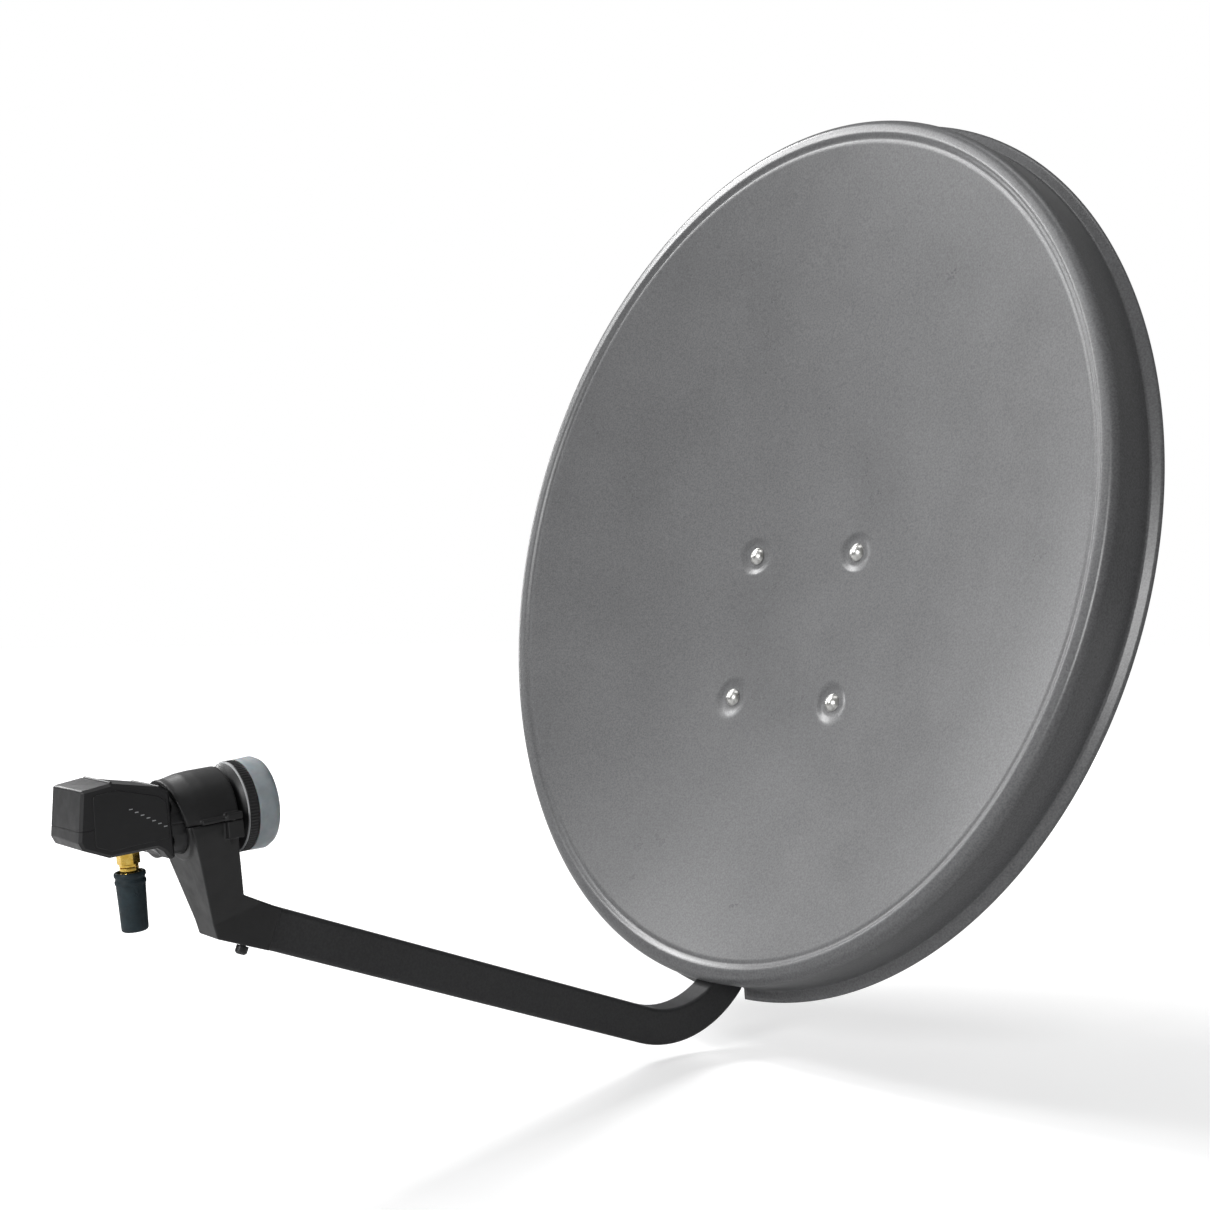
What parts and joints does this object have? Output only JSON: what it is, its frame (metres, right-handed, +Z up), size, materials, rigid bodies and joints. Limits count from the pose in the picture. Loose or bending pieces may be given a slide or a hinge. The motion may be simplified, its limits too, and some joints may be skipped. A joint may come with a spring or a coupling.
{
  "type": "satellite dish",
  "caption": "Offset satellite dish with a rolled rim, bent feed arm, clamp holder with low-noise block, and a tilting mast bracket.",
  "frame": {"origin": "centre of the mast clamp, on the mast's axis", "axes": "+Z up along the mast, -Y the way the dish looks, +X to the right seen from in front of the dish"},
  "size_m": [0.6138, 0.761, 0.6831],
  "materials": {
    "reflector_paint": "satin anthracite powder coat",
    "bracket_paint": "satin dark grey powder coat",
    "arm_paint": "satin near-black powder coat",
    "holder_plastic": "fine-grained black plastic",
    "spacer_plastic": "plain black plastic",
    "zinc_steel": "bright zinc plate",
    "black_steel": "blackened steel",
    "scale_plate": "brushed aluminium with engraved ticks",
    "lnb_plastic": "fine-textured black plastic",
    "cast_alloy": "as-cast alloy",
    "feed_cap_plastic": "translucent pale grey-blue plastic",
    "seal_rubber": "black rubber",
    "board": "green laminate",
    "gold_brass": "gold-coloured plate",
    "insulator": "white plastic",
    "boot_rubber": "dark teal rubber"
  },
  "bodies": {
    "mast_bracket": {"mast_bracket": "bracket_paint", "elevation_scale": "scale_plate", "jaw_bolts": "zinc_steel", "pivot_bolt": "zinc_steel", "pivot_washers": "zinc_steel", "pivot_nut": "zinc_steel"},
    "jaw_upper": {"mast_jaw_upper": "bracket_paint", "jaw_nuts_upper": "zinc_steel"},
    "jaw_lower": {"mast_jaw_lower": "bracket_paint", "jaw_nuts_lower": "zinc_steel"},
    "dish": {"reflector": "reflector_paint", "reflector_bolts": "zinc_steel", "reflector_spacers": "spacer_plastic", "reflector_washers": "zinc_steel", "reflector_nuts": "zinc_steel", "back_bracket": "bracket_paint", "arm_channel": "bracket_paint", "arm_tube": "arm_paint", "arm_end_cap": "holder_plastic", "arm_bolts": "zinc_steel", "arm_nuts": "zinc_steel", "lock_bolts": "zinc_steel", "lock_washers": "zinc_steel", "lnb_holder": "holder_plastic", "clamp_cap": "holder_plastic", "clamp_screws": "zinc_steel", "holder_screw": "black_steel"},
    "wing_left": {"wing_nut_left": "zinc_steel"},
    "wing_right": {"wing_nut_right": "zinc_steel"},
    "lnb": {"lnb_top_shell": "lnb_plastic", "lnb_bottom_shell": "lnb_plastic", "waveguide": "cast_alloy", "horn_flange": "lnb_plastic", "feed_cap": "feed_cap_plastic", "cap_seal": "seal_rubber", "circuit_board": "board", "screening_can": "cast_alloy", "pickup_probes": "gold_brass", "f_port": "gold_brass", "port_insulator": "insulator", "port_contact": "gold_brass", "connector_barrel": "gold_brass"},
    "connector_nut": {"connector_nut": "gold_brass"},
    "boot": {"rubber_boot": "boot_rubber"}
  },
  "joints": [
    {"name": "elevation_tilt", "type": "hinge", "parent": "mast_bracket", "child": "dish", "pos_m": [0, -0.056, 0.028], "axis": [1, 0, 0], "range_deg": [-22, 16]},
    {"name": "jaw_upper_slide", "type": "slide", "parent": "mast_bracket", "child": "jaw_upper", "axis": [0, 1, 0], "range_m": [-0.01, 0.014]},
    {"name": "jaw_lower_slide", "type": "slide", "parent": "mast_bracket", "child": "jaw_lower", "axis": [0, 1, 0], "range_m": [-0.01, 0.014]},
    {"name": "wing_left_spin", "type": "hinge", "parent": "dish", "child": "wing_left", "pos_m": [0, -0.06819, -0.03075], "axis": [1, 0, 0], "continuous": true},
    {"name": "wing_right_spin", "type": "hinge", "parent": "dish", "child": "wing_right", "pos_m": [0, -0.06819, -0.03075], "axis": [1, 0, 0], "continuous": true},
    {"name": "lnb_skew", "type": "hinge", "parent": "dish", "child": "lnb", "pos_m": [0, -0.6214, -0.08855], "axis": [0, 0.9945, 0.1045], "range_deg": [-90, 90]},
    {"name": "connector_nut_spin", "type": "hinge", "parent": "lnb", "child": "connector_nut", "pos_m": [0, -0.6614, -0.10985], "axis": [0, 0.1045, -0.9945], "continuous": true},
    {"name": "boot_slide", "type": "slide", "parent": "lnb", "child": "boot", "axis": [0, 0.1045, -0.9945], "range_m": [-0.013, 0.012]}
  ]
}
